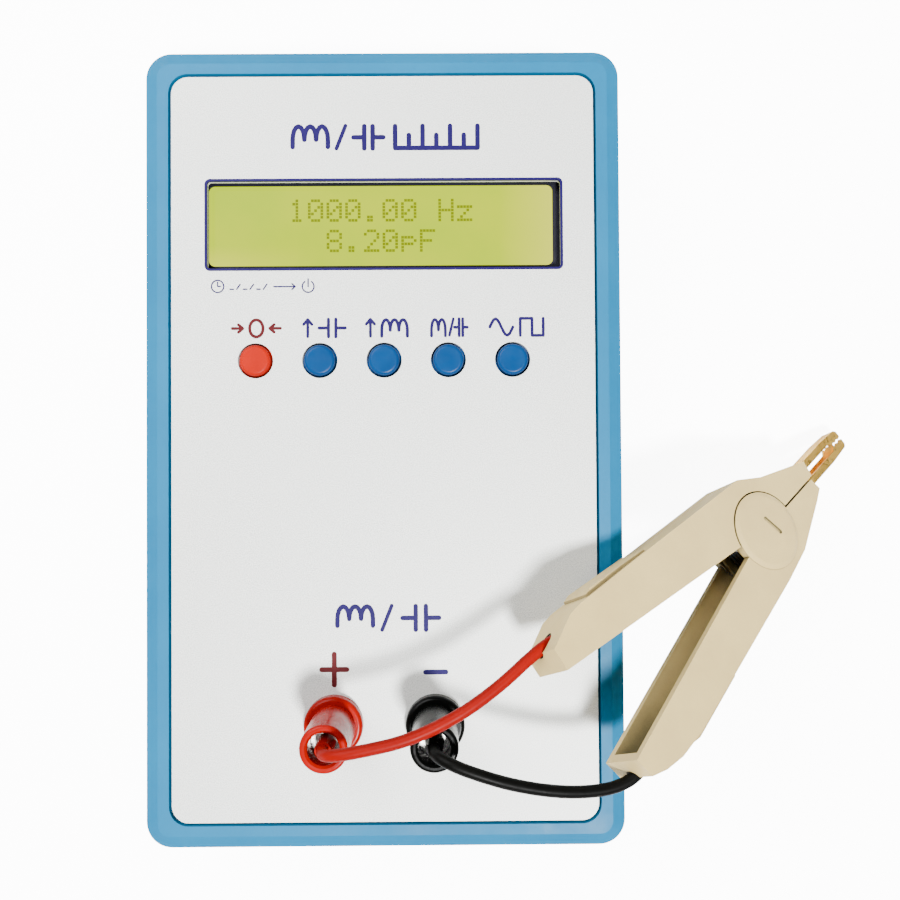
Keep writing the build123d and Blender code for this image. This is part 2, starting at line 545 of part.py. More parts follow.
# ---------------------------------------------------------------- binding posts
for name, x in POST_X.items():
    foot = Plane.XY.offset(PANEL_Z).shift_origin((x, POST_Y, PANEL_Z))

    with BuildPart() as post_base:
        with BuildSketch(foot.offset(-PANEL_T)):
            Circle(SHOULDER_R)
        extrude(amount=PANEL_T)
        with BuildSketch(foot):
            Circle(FLANGE_R)
        extrude(amount=FLANGE_T)
        fillet(post_base.edges().group_by(Axis.Z)[-1], radius=FLANGE_EDGE_R)
        with BuildSketch(foot.offset(-PANEL_T)):
            Circle(STEM_R + RUNNING)
        extrude(amount=PANEL_T + FLANGE_T, mode=Mode.SUBTRACT)
    save(post_base.part, f"{name}_post_base")

    with BuildPart() as post_washer:
        with BuildSketch(foot.offset(-PANEL_T - WASHER_T)):
            Circle(FLANGE_R)
            Circle(STEM_R + RUNNING, mode=Mode.SUBTRACT)
        extrude(amount=WASHER_T)
    save(post_washer.part, f"{name}_post_washer")

    with BuildPart() as post_stem:
        with BuildSketch(foot.offset(-STEM_DOWN)):
            Circle(STEM_R)
        extrude(amount=STEM_DOWN + STEM_TOP)
        chamfer(post_stem.edges().group_by(Axis.Z)[-1], length=STEM_SLOPE)
        with BuildSketch(Plane(origin=(x, POST_Y, PCB_Z - TAIL_OUT))):
            Circle(TAIL_R)
        extrude(amount=PANEL_Z - STEM_DOWN - PCB_Z + TAIL_OUT)
        with BuildSketch(foot.offset(STEM_TOP - SOCKET_DEPTH)):
            Circle(SOCKET_R)
        extrude(amount=SOCKET_DEPTH, mode=Mode.SUBTRACT)
        with BuildSketch(Plane(origin=(x, POST_Y, PANEL_Z + WIRE_HOLE_Z), z_dir=(0, 1, 0))):
            Circle(WIRE_HOLE_R)
        extrude(amount=STEM_R + OVERRUN, both=True, mode=Mode.SUBTRACT)
    save(post_stem.part, f"{name}_post_stem")

    with BuildPart() as post_insert:
        with BuildSketch(foot.offset(INSERT_Z0)):
            Circle(INSERT_R)
            Circle(STEM_R + RUNNING, mode=Mode.SUBTRACT)
        extrude(amount=INSERT_Z1 - INSERT_Z0)
    save(post_insert.part, f"{name}_post_insert")

    with BuildPart() as post_cap:
        with BuildSketch(foot.offset(POST_CAP_Z0)):
            Circle(POST_CAP_R)
        extrude(amount=POST_CAP_Z1 - POST_CAP_Z0)
        fillet(post_cap.edges().group_by(Axis.Z)[-1], radius=POST_CAP_EDGE_R)
        fillet(post_cap.edges().group_by(Axis.Z)[0], radius=POST_CAP_FOOT_R)
        with BuildSketch(foot.offset(POST_CAP_Z0)):
            Circle(INSERT_R + RUNNING)
        extrude(amount=INSERT_Z1 + 2 * RUNNING - POST_CAP_Z0, mode=Mode.SUBTRACT)
        with BuildSketch(foot.offset(INSERT_Z1)):
            Circle(STEM_R + 2 * RUNNING)
        extrude(amount=STEM_TOP + 4 * RUNNING - INSERT_Z1, mode=Mode.SUBTRACT)
        with BuildSketch(foot.offset(STEM_TOP)):
            Circle(MOUTH_R)
        extrude(amount=POST_CAP_Z1 - STEM_TOP + OVERRUN, mode=Mode.SUBTRACT)
        mouth = post_cap.edges().filter_by(GeomType.CIRCLE).group_by(Axis.Z)[-1]
        chamfer(mouth.sort_by(SortBy.RADIUS)[0], length=MOUTH_SLOPE)
    save(post_cap.part, f"{name}_post_cap")

    with BuildPart() as plug_pin:
        with BuildSketch(foot.offset(PIN_Z0)):
            Circle(PIN_R)
        extrude(amount=PIN_Z1 - PIN_Z0)
        chamfer(plug_pin.edges().group_by(Axis.Z)[0], length=PIN_SLOPE)
    save(plug_pin.part, f"{name}_plug_pin")

    with BuildPart() as plug_boot:
        with BuildSketch(foot.offset(BOOT_Z0)):
            Circle(BOOT_R)
        extrude(amount=BOOT_COLLAR)
        with BuildSketch(foot.offset(BOOT_Z0 + BOOT_COLLAR)):
            Circle(BOOT_R)
        with BuildSketch(foot.offset(BOOT_Z1)):
            Circle(LEAD_D / 2 + BOOT_SKIN)
        loft()
    save(plug_boot.part, f"{name}_plug_boot")

with BuildPart() as post_nuts:
    for x in POST_X.values():
        for top in (-PANEL_T - WASHER_T - NUT_GAP, -PANEL_T - WASHER_T - 2 * NUT_GAP - NUT_T):
            with BuildSketch(Plane(origin=(x, POST_Y, PANEL_Z + top - NUT_T))):
                RegularPolygon(NUT_AF / 2, 6, major_radius=False)
                Circle(STEM_R + RUNNING, mode=Mode.SUBTRACT)
            extrude(amount=NUT_T)
save(post_nuts.part, "post_nuts")

# ---------------------------------------------------------------- screws
with BuildPart() as case_screws:
    with BuildSketch(Plane.XY.offset(SCREW_SUNK)):
        with GridLocations(2 * SCREW_X, 2 * SCREW_Y, 2, 2):
            Circle(SCREW_HEAD_R)
    extrude(amount=SCREW_HEAD_Z - SCREW_SUNK)
    with BuildSketch(Plane.XY.offset(SCREW_HEAD_Z)):
        with GridLocations(2 * SCREW_X, 2 * SCREW_Y, 2, 2):
            Circle(SCREW_R)
    extrude(amount=SCREW_TOP - SCREW_HEAD_Z)
    with BuildSketch(Plane.XY.offset(SCREW_SUNK)):
        with GridLocations(2 * SCREW_X, 2 * SCREW_Y, 2, 2):
            Rectangle(CROSS_L, CROSS_W)
            Rectangle(CROSS_W, CROSS_L)
    extrude(amount=CROSS_DEPTH, mode=Mode.SUBTRACT)
save(case_screws.part, "case_screws")

with BuildPart() as board_screws:
    with BuildSketch(Plane.XY.offset(PCB_TOP)):
        with GridLocations(2 * PCB_HOLE_X, 2 * PCB_HOLE_Y, 2, 2):
            Circle(BOARD_HEAD_R)
    extrude(amount=BOARD_HEAD_H)
    with BuildSketch(Plane.XY.offset(BOARD_SCREW_Z0)):
        with GridLocations(2 * PCB_HOLE_X, 2 * PCB_HOLE_Y, 2, 2):
            Circle(BOARD_SCREW_R)
    extrude(amount=PCB_TOP - BOARD_SCREW_Z0)
save(board_screws.part, "board_screws")

with BuildPart() as lcd_screws:
    with BuildSketch(Plane.XY.offset(LCD_PCB_Z - LCD_HEAD_H)):
        with Locations((LCD_X, LCD_Y)):
            with GridLocations(LCD_HOLE_DX, LCD_HOLE_DY, 2, 2):
                Circle(LCD_HEAD_R)
    extrude(amount=LCD_HEAD_H)
    with BuildSketch(Plane.XY.offset(LCD_PCB_Z)):
        with Locations((LCD_X, LCD_Y)):
            with GridLocations(LCD_HOLE_DX, LCD_HOLE_DY, 2, 2):
                Circle(LCD_SCREW_R)
    extrude(amount=LCD_SCREW_L)
save(lcd_screws.part, "lcd_screws")


# ---------------------------------------------------------------- leads
def corner_radii(route):
    """Arc radius at each inner point: 0.45 of the shorter run over tan(half the turn)."""
    points = [Vector(*p) for p in route]
    radii = []
    for before, here, after in zip(points, points[1:], points[2:]):
        turn = (here - before).get_angle(after - here)
        shorter = min((here - before).length, (after - here).length)
        radii.append(0.45 * shorter / tan(radians(turn) / 2))
    return radii


def lead(route, name):
    """A round lead along straight runs joined by arcs."""
    radii = corner_radii(route)
    with BuildPart() as tube:
        with BuildLine() as path:
            FilletPolyline(*route, radius=radii)
        start = Plane(origin=path.line @ 0, z_dir=path.line % 0)
        with BuildSketch(start):
            Circle(LEAD_D / 2)
        sweep(path=path.line)
    length = sum(edge.length for edge in path.edges())
    ratio = tube.part.volume / (pi * LEAD_D**2 / 4 * length)
    print(name, "length", round(length, 1), "volume / (section x length)", round(ratio, 4))
    print(name, "arc radii", [round(r, 1) for r in radii])
    save(tube.part, name)


lead(RED_ROUTE, "red_lead")
lead(BLACK_ROUTE, "black_lead")

# ---------------------------------------------------------------- spring clip
# Outlines in the clip's plane, from the rear end's inner corner round the outer side to
# the nose. The upper arm has the fuller shoulder.
UPPER_OUTLINE = [
    (-53.4, 9.4),
    (-53.0, 13.4),
    (-50.2, 14.3),
    (-46.5, 15.6),
    (-43.9, 15.7),
    (-32.3, 14.6),
    (-12.8, 12.55),
    (2.0, 10.9),
    (7.3, 8.0),
    (17.6, 4.4),
    (19.5, 3.7),
    (18.8, SLIT_Y + SLIT_HALF),
    (0.0, SLIT_Y + SLIT_HALF),
    (-8.2, 1.7),
]
LOWER_OUTLINE = [
    (-53.5, -9.1),
    (-53.0, -12.9),
    (-50.0, -14.1),
    (-46.0, -14.85),
    (-40.0, -14.7),
    (-18.8, -11.75),
    (-3.0, -9.7),
    (4.9, -8.2),
    (15.8, -3.7),
    (18.5, -2.4),
    (18.0, SLIT_Y - SLIT_HALF),
    (0.0, SLIT_Y - SLIT_HALF),
    (-8.0, -0.9),
]
NOSE_SOLID_X = 8.4
TAIL_WEB_X = -51.9
HALF_T = CLIP_T / 2
INNER_N = HALF_T - ARM_WALL
EAR_TOP = INNER_N - EAR_GAP
EAR_LOW = EAR_TOP - EAR_T
PAD_H = 1.0


def arm(outline, side, route, jaw_y, pad_inset):
    """One moulded arm: a channel open to the other arm, a hinge disc on one face and a
    hinge ear inside the other. side is +1 for the upper arm and -1 for the lower one,
    whose disc is on the front."""
    disc_face = -side
    with BuildPart() as body:
        with BuildSketch(clip_plane(-HALF_T)):
            with BuildLine():
                Polyline(*outline, close=True)
            make_face()
        extrude(amount=CLIP_T)
        # finger pad on the outer side
        with BuildSketch(clip_plane(-HALF_T + pad_inset)):
            with BuildLine():
                Polyline(
                    (-41.5, side * 14.0),
                    (-41.0, side * 15.9),
                    (-39.4, side * (15.2 + PAD_H)),
                    (-25.4, side * (13.2 + PAD_H)),
                    (-24.6, side * 12.8),
                    close=True,
                )
            make_face()
        extrude(amount=CLIP_T - 2 * pad_inset)
        # the channel
        with BuildSketch(clip_plane(-INNER_N)):
            with BuildLine():
                Polyline(*outline, close=True)
            make_face()
            offset(amount=-ARM_WALL, kind=Kind.INTERSECTION)
            with BuildLine():
                Polyline(
                    (TAIL_WEB_X, side * 8.0),
                    (TAIL_WEB_X, side * 11.4),
                    (-9.0, side * 6.0),
                    (NOSE_SOLID_X, side * 4.0),
                    (NOSE_SOLID_X, side * -3.0),
                    (-9.0, side * -3.0),
                    close=True,
                )
            make_face()
            with Locations(((NOSE_SOLID_X + 30) / 2, 0)):
                Rectangle(30 - NOSE_SOLID_X, 40, mode=Mode.SUBTRACT)
        extrude(amount=2 * INNER_N, mode=Mode.SUBTRACT)
        # clear of the other arm's disc, inner ear and the spring coil
        with BuildSketch(clip_plane(-disc_face * (INNER_N - 0.01))):
            Circle(DISC_R + DISC_GAP)
        extrude(amount=-disc_face * (ARM_WALL + 1), mode=Mode.SUBTRACT)
        # own disc, flush with and a little proud of the face
        with BuildSketch(clip_plane(disc_face * INNER_N)):
            Circle(DISC_R)
        extrude(amount=disc_face * (ARM_WALL + DISC_PROUD - DISC_SLOPE_H))
        with BuildSketch(clip_plane(disc_face * (HALF_T + DISC_PROUD - DISC_SLOPE_H))):
            Circle(DISC_R)
        with BuildSketch(clip_plane(disc_face * (HALF_T + DISC_PROUD))):
            Circle(DISC_R - DISC_SLOPE_W)
        loft()
        # own inner ear, joined to the channel's wall
        with BuildSketch(clip_plane(-disc_face * EAR_LOW)):
            Circle(EAR_R)
            with BuildLine():
                Polyline((-7.0, 0), (-7.0, side * 9.5), (7.0, side * 7.2), (7.0, 0), close=True)
            make_face()
        extrude(amount=-disc_face * EAR_T)
        with BuildSketch(clip_plane(-disc_face * EAR_LOW)):
            with BuildLine():
                Polyline(
                    (-7.0, side * 7.8),
                    (-7.0, side * 10.6),
                    (0.0, side * 9.6),
                    (7.0, side * 7.0),
                    (7.0, side * 5.0),
                    (4.0, side * 6.9),
                    (-4.0, side * 8.4),
                    close=True,
                )
            make_face()
            Circle(DISC_R + DISC_GAP, mode=Mode.SUBTRACT)
        extrude(amount=-disc_face * (INNER_N - EAR_LOW))
        # hole for the pivot pin, blind in the disc
        with BuildSketch(clip_plane()):
            Circle(PIVOT_R + RUNNING)
        extrude(amount=PIVOT_HALF + 0.1, both=True, mode=Mode.SUBTRACT)
        # slot for the jaw's strip through the nose
        with BuildSketch(clip_plane(-JAW_HALF_N - JAW_PLAY)):
            with Locations((JAW_SLOT_X, side * jaw_y)):
                Rectangle(JAW_SLOT_L, JAW_SLOT_W)
        extrude(amount=2 * (JAW_HALF_N + JAW_PLAY), mode=Mode.SUBTRACT)
        # hole for the lead at the rear's outer corner
        for inner, outer in ((route[-3], route[-4]), (route[-4], route[-5])):
            run = Vector(*outer) - Vector(*inner)
            with BuildSketch(Plane(origin=inner, z_dir=run).offset(-LEAD_GAP)):
                Circle(LEAD_D / 2 + LEAD_GAP)
            extrude(amount=run.length + 2 * LEAD_GAP, mode=Mode.SUBTRACT)
        # plain marking groove on the disc
        with BuildSketch(clip_plane(disc_face * (HALF_T + DISC_PROUD))):
            with Locations((MARK_X, 0)):
                SlotOverall(MARK_L, MARK_W, rotation=MARK_TURN)
        extrude(amount=-disc_face * MARK_DEPTH, mode=Mode.SUBTRACT)
    return body.part


def jaw(side, centre_y):
    """A toothed jaw folded from sheet, on a flat strip that runs back inside its arm."""
    outer, inner = centre_y + JAW_RISE, centre_y - JAW_FALL
    middle = SLIT_Y * side

    def at(x, y):
        return (x, side * y)

    with BuildPart() as body:
        with BuildSketch(clip_plane(-JAW_HALF_N)):
            with BuildLine():
                Polyline(
                    at(9.0, outer),
                    at(30.0, outer),
                    at(JAW_TIP - 0.6, outer - 0.35),
                    at(JAW_TIP, outer - 0.9),
                    at(JAW_TIP, middle + 0.35),
                    at(JAW_TIP - 0.7, middle + 0.1),
                    at(JAW_TIP - 1.4, middle + 0.45),
                    at(JAW_TIP - 2.1, middle + 0.1),
                    at(JAW_TIP - 2.8, middle + 0.45),
                    at(JAW_TIP - 3.5, middle + 0.1),
                    at(JAW_TIP - 4.4, inner),
                    at(9.0, inner),
                    close=True,
                )
            make_face()
        extrude(amount=2 * JAW_HALF_N)
        with BuildSketch(clip_plane(-JAW_HALF_N + JAW_SHEET)):
            with BuildLine():
                Polyline(
                    at(8.0, outer - JAW_SHEET),
                    at(30.0, outer - JAW_SHEET),
                    at(JAW_TIP + 1, outer - JAW_SHEET - 0.5),
                    at(JAW_TIP + 1, middle - 1),
                    at(8.0, middle - 1),
                    close=True,
                )
            make_face()
        extrude(amount=2 * (JAW_HALF_N - JAW_SHEET), mode=Mode.SUBTRACT)
    return body.part


UPPER_JAW_Y, LOWER_JAW_Y = 2.0, 1.3
UPPER_PAD_INSET, LOWER_PAD_INSET = 1.0, 2.4
save(arm(UPPER_OUTLINE, 1, RED_ROUTE, UPPER_JAW_Y + RUNNING, UPPER_PAD_INSET), "clip_upper_arm")
save(arm(LOWER_OUTLINE, -1, BLACK_ROUTE, LOWER_JAW_Y + RUNNING, LOWER_PAD_INSET), "clip_lower_arm")
save(jaw(1, UPPER_JAW_Y), "clip_upper_jaw")
save(jaw(-1, LOWER_JAW_Y), "clip_lower_jaw")

with BuildPart() as clip_pivot_pin:
    with BuildSketch(clip_plane(-PIVOT_HALF)):
        Circle(PIVOT_R)
    extrude(amount=2 * PIVOT_HALF)
save(clip_pivot_pin.part, "clip_pivot_pin")

with BuildPart() as clip_spring:
    coil_height = COIL_TURNS * COIL_PITCH
    with BuildLine() as wire:
        coil = Helix(COIL_PITCH, coil_height, COIL_R)
        first, last = coil @ 0, coil @ 1
        Line(first - (coil % 0) * COIL_LEG, first)
        Line(last, last + (coil % 1) * COIL_LEG)
    with BuildSketch(Plane(origin=first, z_dir=coil % 0).offset(-COIL_LEG)):
        Circle(COIL_WIRE / 2)
    sweep(path=wire.line)
coil_place = clip_plane(-coil_height / 2).location * Rotation(0, 0, COIL_LEG_ANGLE - 90)
save(clip_spring.part.moved(coil_place), "clip_spring")
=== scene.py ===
"""Looks of a hand-held inductance and capacitance meter with its clip lead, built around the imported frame.

The scene is in metres, with +X right, +Y towards the display and +Z up. Places and sizes on the object are
written in millimetres and multiplied by MM. The camera, the lights and the material textures are in metres.
"""

import json
import math

import bmesh
import bpy
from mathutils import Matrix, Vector


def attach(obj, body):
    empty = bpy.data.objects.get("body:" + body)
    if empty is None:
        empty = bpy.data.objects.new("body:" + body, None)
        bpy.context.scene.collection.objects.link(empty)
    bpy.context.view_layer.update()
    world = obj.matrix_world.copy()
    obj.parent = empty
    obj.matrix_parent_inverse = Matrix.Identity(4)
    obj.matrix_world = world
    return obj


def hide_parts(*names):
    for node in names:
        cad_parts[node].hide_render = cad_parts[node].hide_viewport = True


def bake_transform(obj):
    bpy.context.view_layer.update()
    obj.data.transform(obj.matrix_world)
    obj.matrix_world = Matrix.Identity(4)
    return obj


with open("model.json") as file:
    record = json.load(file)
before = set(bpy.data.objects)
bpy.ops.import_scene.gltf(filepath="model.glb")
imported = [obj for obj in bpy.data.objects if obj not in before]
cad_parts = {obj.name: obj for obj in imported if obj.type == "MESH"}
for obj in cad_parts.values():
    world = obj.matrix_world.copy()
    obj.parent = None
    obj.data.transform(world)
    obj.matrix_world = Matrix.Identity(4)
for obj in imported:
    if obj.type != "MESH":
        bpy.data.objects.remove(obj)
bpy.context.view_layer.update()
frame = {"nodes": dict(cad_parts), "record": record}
NODES = frame["nodes"]
BODY_OF = {n: b for b, ns in frame["record"]["behaviour"]["bodies"].items() for n in ns}
MM = 0.001

PANEL_Z = 29.6
GLASS_Z = 26.3

# ------------------------------------------------------------------ camera
CAMERA_LENS, CAMERA_SENSOR, CAMERA_NEAR = 39.58, 36.0, 0.01
CAMERA_AT = (0.0113, -0.0041, PANEL_Z * MM + 0.1845)
CAMERA_TURN = (0.0183, -0.0054, -0.0064)


def add_camera():
    data = bpy.data.cameras.new("camera")
    data.lens = CAMERA_LENS
    data.sensor_width = CAMERA_SENSOR
    data.clip_start = CAMERA_NEAR
    cam = bpy.data.objects.new("camera", data)
    cam.location = CAMERA_AT
    cam.rotation_euler = CAMERA_TURN
    bpy.context.scene.collection.objects.link(cam)
    bpy.context.scene.camera = cam


add_camera()

# ------------------------------------------------------------------ leads
LEAD_D = 2.1
RED_ROUTE = [
    (-9.47, -51.40, 47.1),
    (-9.47, -51.40, 49.8),
    (-7.00, -51.00, 51.6),
    (-2.50, -50.20, 51.9),
    (5.00, -48.60, 51.8),
    (13.50, -44.80, 51.1),
    (20.50, -40.00, 49.8),
    (25.30, -35.90, 48.4),
    (28.70, -33.60, 46.9),
    (32.20, -32.50, 44.9),
    (36.25, -31.00, 42.4),
    (39.60, -29.50, 40.2),
]
BLACK_ROUTE = [
    (9.27, -51.40, 47.1),
    (9.27, -51.40, 49.7),
    (11.60, -52.40, 51.4),
    (15.60, -54.00, 51.6),
    (22.50, -56.30, 50.9),
    (30.30, -57.80, 49.8),
    (36.80, -58.00, 48.6),
    (40.90, -57.20, 47.8),
    (43.60, -55.60, 47.2),
    (45.20, -53.20, 45.8),
    (47.50, -49.90, 43.5),
    (49.80, -47.10, 41.4),
]
ROUTE_STEPS = 10  # points along each span of the curve


def spline_points(route):
    """Points along the NURBS curve whose control polygon is the route, in metres."""
    curve = bpy.data.curves.new("route", "CURVE")
    curve.dimensions = "3D"
    spline = curve.splines.new("NURBS")
    spline.points.add(len(route) - 1)
    for point, place in zip(spline.points, route):
        point.co = (*(v * MM for v in place), 1)
    spline.order_u = 3
    spline.use_endpoint_u = True
    spline.resolution_u = ROUTE_STEPS
    holder = bpy.data.objects.new("route", curve)
    bpy.context.scene.collection.objects.link(holder)
    bpy.context.view_layer.update()
    mesh = bpy.data.meshes.new_from_object(holder)
    points = [v.co.copy() for v in mesh.vertices]
    bpy.data.objects.remove(holder)
    bpy.data.meshes.remove(mesh)
    if (points[0] - Vector(route[0]) * MM).length > (points[-1] - Vector(route[0]) * MM).length:
        points.reverse()
    return points


def new_object(name, mesh, body, material):
    """A shown object with a material, riding on a body."""
    obj = bpy.data.objects.new(name, mesh)
    bpy.context.scene.collection.objects.link(obj)
    obj.data.materials.clear()
    obj.data.materials.append(material)
    if body:
        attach(obj, body)
    return obj


def smooth_by_area(mesh, degrees=40):
    """Shade across gentle edges, with wide faces outweighing narrow ones so that they stay flat."""
    mesh.shade_smooth()
    limit = math.cos(math.radians(degrees))
    around = [[] for _ in mesh.vertices]
    for face in mesh.polygons:
        for v in face.vertices:
            around[v].append((face.normal.copy(), face.area))
    normals = []
    for face in mesh.polygons:
        for v in face.vertices:
            total = Vector((0, 0, 0))
            for normal, area in around[v]:
                if normal.dot(face.normal) > limit:
                    total += normal * area
            normals.append(total.normalized() if total.length > 0 else face.normal.copy())
    mesh.normals_split_custom_set(normals)


def mesh_from(name, verts, faces):
    mesh = bpy.data.meshes.new(name)
    mesh.from_pydata([tuple(v) for v in verts], [], faces)
    mesh.update()
    return mesh


def tube_mesh(name, points, radius, sides=20, sharp_degrees=50):
    """A round tube along points, its section carried along without twist, with closed ends."""
    verts, faces = [], []
    tangents = []
    for i in range(len(points)):
        a, b = points[max(i - 1, 0)], points[min(i + 1, len(points) - 1)]
        tangents.append((b - a).normalized())
    normal = tangents[0].orthogonal().normalized()
    for p, t in zip(points, tangents):
        normal = (normal - t * normal.dot(t)).normalized()
        other = t.cross(normal)
        for k in range(sides):
            a = 2 * math.pi * k / sides
            verts.append(p + (normal * math.cos(a) + other * math.sin(a)) * radius)
    for i in range(len(points) - 1):
        for k in range(sides):
            j = (k + 1) % sides
            faces.append((i * sides + k, i * sides + j, (i + 1) * sides + j, (i + 1) * sides + k))
    faces.append(tuple(range(sides))[::-1])
    last = (len(points) - 1) * sides
    faces.append(tuple(range(last, last + sides)))
    mesh = mesh_from(name, verts, faces)
    mesh.shade_smooth()
    mesh.set_sharp_from_angle(angle=math.radians(sharp_degrees))
    return mesh


# ------------------------------------------------------------------ materials
class Nodes:
    """A short way to build one node material."""

    def __init__(self, name):
        self.mat = bpy.data.materials.new(name)
        self.mat.use_nodes = True
        self.tree = self.mat.node_tree
        self.bsdf = self.tree.nodes["Principled BSDF"]
        self.coord = self.tree.nodes.new("ShaderNodeTexCoord").outputs["Object"]

    def add(self, kind, **settings):
        node = self.tree.nodes.new("ShaderNode" + kind)
        for key, value in settings.items():
            setattr(node, key, value)
        return node

    def link(self, a, b):
        self.tree.links.new(a, b)

    def noise(self, scale, detail=3.0, rough=0.55):
        node = self.add("TexNoise")
        node.inputs["Scale"].default_value = scale
        node.inputs["Detail"].default_value = detail
        node.inputs["Roughness"].default_value = rough
        self.link(self.coord, node.inputs["Vector"])
        return node.outputs["Fac"]

    def spread(self, value, low, high, out_low=0.0, out_high=1.0):
        node = self.add("MapRange")
        self.link(value, node.inputs["Value"])
        for key, v in zip(("From Min", "From Max", "To Min", "To Max"), (low, high, out_low, out_high)):
            node.inputs[key].default_value = v
        return node.outputs["Result"]

    def mix(self, factor, a, b):
        node = self.add("Mix", data_type="RGBA")
        for socket, value in ((node.inputs["Factor"], factor), (node.inputs[6], a), (node.inputs[7], b)):
            if hasattr(value, "is_output"):
                self.link(value, socket)
            elif isinstance(value, (int, float)):
                socket.default_value = value
            else:
                socket.default_value = (*value, 1)
        return node.outputs[2]

    def bump(self, height, strength, distance):
        node = self.add("Bump")
        node.inputs["Strength"].default_value = strength
        node.inputs["Distance"].default_value = distance
        self.link(height, node.inputs["Height"])
        self.link(node.outputs["Normal"], self.bsdf.inputs["Normal"])

    def set(self, **values):
        for key, value in values.items():
            socket = self.bsdf.inputs[key.replace("_", " ")]
            if hasattr(value, "is_output"):
                self.link(value, socket)
            elif isinstance(value, (int, float)):
                socket.default_value = value
            else:
                socket.default_value = (*value, 1)


# Reach and samples of the ambient-occlusion probe behind the painted shade in hollows.
PAINTED_SHADE_REACH, PAINTED_SHADE_SAMPLES = 0.007, 8
PLASTIC_GRAIN_DEPTH, METAL_GRAIN_DEPTH = 0.00004, 0.00002


def plastic(
    name, light, dark, rough=0.4, grain=2600, blotch=90, bump=0.15,
    coat=0.0, speck=0.25, shine=0.5, painted_hollow_shade=None,
):
    """Moulded plastic: soft blotches, fine grain, a slightly uneven gloss and painted shade that darkens its
    hollows.
    """
    n = Nodes(name)
    blotches = n.spread(n.noise(blotch, 4), 0.35, 0.65)
    fine = n.spread(n.noise(grain, 2), 0.3, 0.7)
    base = n.mix(blotches, dark, light)
    low = tuple(v * (1 - speck * 0.5) for v in dark)
    tone = n.mix(n.spread(fine, 0, 1, 0, speck), base, low)
    # Painted shade: the colour is pulled towards the given dark colour where ambient occlusion finds nearby
    # surfaces, in creases, channels and hollows.
    if painted_hollow_shade:
        openness = n.add("AmbientOcclusion", samples=PAINTED_SHADE_SAMPLES)
        openness.inputs["Distance"].default_value = PAINTED_SHADE_REACH
        tone = n.mix(n.spread(openness.outputs["AO"], 0.35, 0.9), painted_hollow_shade, tone)
    n.set(Base_Color=tone)
    n.set(Roughness=n.spread(n.noise(blotch * 3, 5), 0.3, 0.7, rough - 0.06, rough + 0.08))
    n.set(Coat_Weight=coat, Coat_Roughness=0.08, Specular_IOR_Level=shine)
    n.bump(fine, bump, PLASTIC_GRAIN_DEPTH)
    return n.mat


def metal(name, light, dark, rough=0.28, grain=1800, bump=0.2):
    """Plated metal with a fine brushed grain and faint stains."""
    n = Nodes(name)
    stains = n.spread(n.noise(260, 5), 0.4, 0.7)
    n.set(Base_Color=n.mix(stains, light, dark), Metallic=1.0)
    n.set(Roughness=n.spread(n.noise(grain, 3), 0.3, 0.7, rough - 0.08, rough + 0.12))
    n.bump(n.noise(grain, 2), bump, METAL_GRAIN_DEPTH)
    return n.mat


SHELL = plastic(
    "shell_blue", (0.001, 0.120, 0.245), (0.001, 0.106, 0.222), 0.46, 2200, 60, 0.25, speck=0.12, shine=0.12
)
PLATE = metal("nickel", (0.80, 0.78, 0.74), (0.45, 0.43, 0.40))
GOLD = metal("brass_gold", (0.95, 0.60, 0.12), (0.80, 0.46, 0.07), 0.32, 1200, 0.1)
STEEL = metal("screw_steel", (0.60, 0.60, 0.62), (0.38, 0.38, 0.40), 0.35)
SPRING = metal("spring_steel", (0.09, 0.09, 0.10), (0.04, 0.04, 0.045), 0.35)
BEZEL = plastic("bezel_black", (0.004, 0.004, 0.010), (0.003, 0.003, 0.008), 0.45, shine=0.15)
DARK = plastic("dark_plastic", (0.03, 0.03, 0.032), (0.018, 0.018, 0.02), 0.5)
RED = plastic(
    "post_red", (0.24, 0.0016, 0.0003), (0.21, 0.0013, 0.0002), 0.24, 1500, 120, 0.05, speck=0.1, shine=0.08
)
BLACK = plastic(
    "post_black", (0.0020, 0.0022, 0.0019), (0.0012, 0.0014, 0.0012), 0.22, 1500, 120, 0.05,
    speck=0.1, shine=0.06,
)
LEAD_RED = plastic(
    "lead_red", (0.20, 0.0022, 0.0006), (0.17, 0.0017, 0.0005), 0.42, 1800, 150, 0.15,
    speck=0.15, shine=0.05,
)
LEAD_BLACK = plastic(
    "lead_black", (0.0022, 0.0022, 0.0018), (0.0014, 0.0014, 0.0012), 0.42, 1800, 150, 0.15,
    speck=0.1, shine=0.05,
)
ORANGE = plastic(
    "button_orange", (0.30, 0.0060, 0.0002), (0.26, 0.0050, 0.0002), 0.38, 2500, 200, 0.1,
    speck=0.12, shine=0.06,
)
BLUE = plastic(
    "button_blue", (0.0006, 0.031, 0.115), (0.0005, 0.027, 0.100), 0.34, 2500, 200, 0.1,
    speck=0.15, shine=0.1,
)
BEIGE = plastic(
    "clip_beige", (0.54, 0.405, 0.165), (0.48, 0.36, 0.148), 0.50, 2400, 110, 0.35, speck=0.2, shine=0.25,
    # the clip's painted shade colour for its channels and hollows
    painted_hollow_shade=(0.085, 0.075, 0.035),
)
BOARD = plastic("circuit_board", (0.010, 0.13, 0.045), (0.006, 0.08, 0.03), 0.35, 900, 220, 0.3, 0.3, 0.4)
CELL = plastic("cell_jacket", (0.05, 0.11, 0.07), (0.03, 0.08, 0.05), 0.25, 1500, 90, 0.05, 0.3)
FERRITE = plastic("ferrite_winding", (0.10, 0.035, 0.015), (0.04, 0.02, 0.012), 0.45, 1600, 300, 0.5)
FILM = plastic("capacitor_film", (0.42, 0.06, 0.02), (0.34, 0.04, 0.015), 0.3, 1500, 200, 0.1)
RUBBER = plastic("contact_rubber", (0.05, 0.05, 0.05), (0.02, 0.02, 0.02), 0.7, 1500, 300, 0.3)
